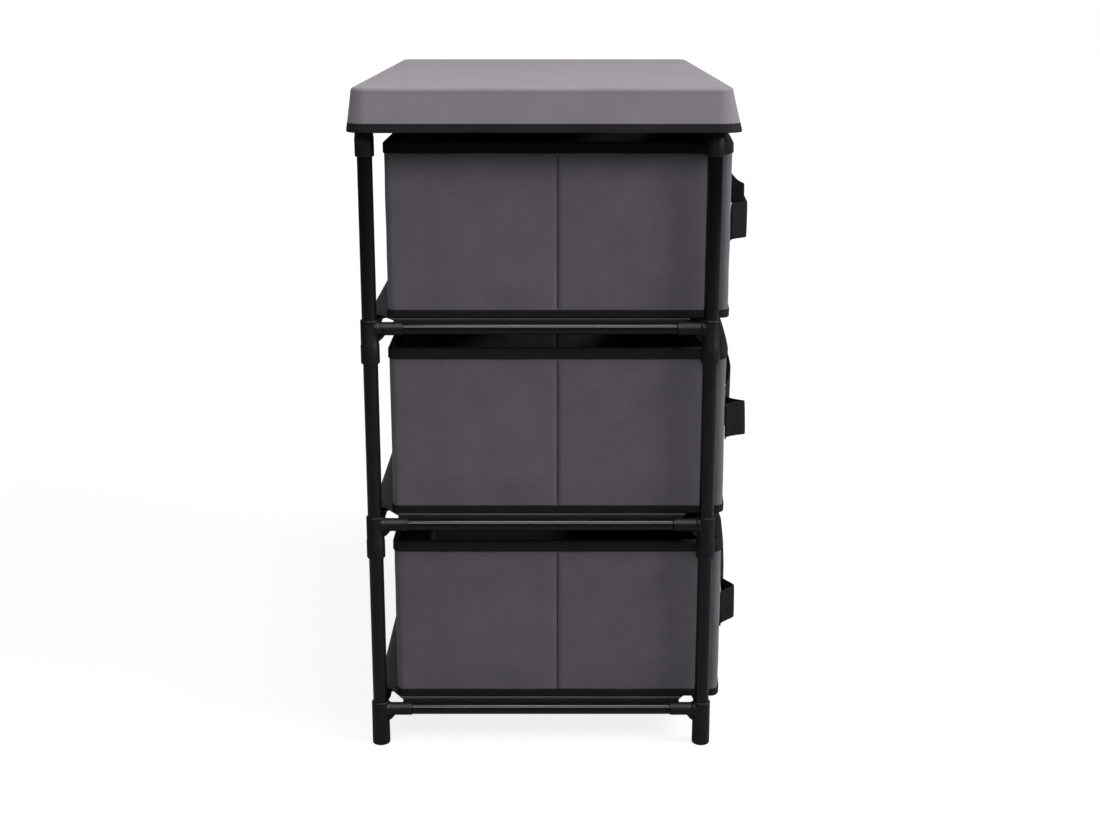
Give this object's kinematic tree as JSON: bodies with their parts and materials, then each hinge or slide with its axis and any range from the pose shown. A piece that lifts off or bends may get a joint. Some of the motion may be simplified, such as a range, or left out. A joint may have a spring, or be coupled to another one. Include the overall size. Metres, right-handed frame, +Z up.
{
  "type": "fabric drawer cabinet",
  "caption": "Free-standing storage cabinet: fabric drawers with strap handles slide on fabric shelves in a plug-together tube frame under a fabric-covered top.",
  "frame": {"origin": "on the floor, under the middle of the whole cabinet's bounding box", "axes": "+Z up; the drawer fronts face -Y and the drawers pull out along -Y; X runs across the cabinet"},
  "size_m": [0.4604, 0.3308, 0.55],
  "materials": {
    "frame_steel": "black powder coat, satin",
    "connector_plastic": "black moulded plastic, fine matt grain",
    "drawer_fabric": "dark grey non-woven fabric",
    "cover_fabric": "mid grey non-woven fabric",
    "black_tape": "black woven tape",
    "fibreboard": "plain brown fibreboard"
  },
  "bodies": {
    "frame": {"foot_connector_front_left": "connector_plastic", "foot_connector_front_right": "connector_plastic", "foot_connector_rear_left": "connector_plastic", "foot_connector_rear_right": "connector_plastic", "lower_connector_front_left": "connector_plastic", "lower_connector_front_right": "connector_plastic", "lower_connector_rear_left": "connector_plastic", "lower_connector_rear_right": "connector_plastic", "upper_connector_front_left": "connector_plastic", "upper_connector_front_right": "connector_plastic", "upper_connector_rear_left": "connector_plastic", "upper_connector_rear_right": "connector_plastic", "top_connector_front_left": "connector_plastic", "top_connector_front_right": "connector_plastic", "top_connector_rear_left": "connector_plastic", "top_connector_rear_right": "connector_plastic", "bottom_post_front_left": "frame_steel", "bottom_post_front_right": "frame_steel", "bottom_post_rear_left": "frame_steel", "bottom_post_rear_right": "frame_steel", "middle_post_front_left": "frame_steel", "middle_post_front_right": "frame_steel", "middle_post_rear_left": "frame_steel", "middle_post_rear_right": "frame_steel", "top_post_front_left": "frame_steel", "top_post_front_right": "frame_steel", "top_post_rear_left": "frame_steel", "top_post_rear_right": "frame_steel", "foot_rail_front": "frame_steel", "foot_rail_rear": "frame_steel", "foot_rail_left": "frame_steel", "foot_rail_right": "frame_steel", "lower_rail_front": "frame_steel", "lower_rail_rear": "frame_steel", "lower_rail_left": "frame_steel", "lower_rail_right": "frame_steel", "upper_rail_front": "frame_steel", "upper_rail_rear": "frame_steel", "upper_rail_left": "frame_steel", "upper_rail_right": "frame_steel", "top_rail_front": "frame_steel", "top_rail_rear": "frame_steel", "top_rail_left": "frame_steel", "top_rail_right": "frame_steel", "bottom_shelf": "drawer_fabric", "middle_shelf": "drawer_fabric", "top_shelf": "drawer_fabric", "top_board": "fibreboard", "top_cover": "cover_fabric"},
    "bottom_drawer": {"bottom_drawer_fabric_box": "drawer_fabric", "bottom_drawer_base_board": "fibreboard", "bottom_drawer_strap_handle": "black_tape"},
    "middle_drawer": {"middle_drawer_fabric_box": "drawer_fabric", "middle_drawer_base_board": "fibreboard", "middle_drawer_strap_handle": "black_tape"},
    "top_drawer": {"top_drawer_fabric_box": "drawer_fabric", "top_drawer_base_board": "fibreboard", "top_drawer_strap_handle": "black_tape"}
  },
  "joints": [
    {"name": "bottom_drawer_slide", "type": "slide", "parent": "frame", "child": "bottom_drawer", "axis": [0, -1, 0], "range_m": [0, 0.18]},
    {"name": "middle_drawer_slide", "type": "slide", "parent": "frame", "child": "middle_drawer", "axis": [0, -1, 0], "range_m": [0, 0.18]},
    {"name": "top_drawer_slide", "type": "slide", "parent": "frame", "child": "top_drawer", "axis": [0, -1, 0], "range_m": [0, 0.18]}
  ]
}
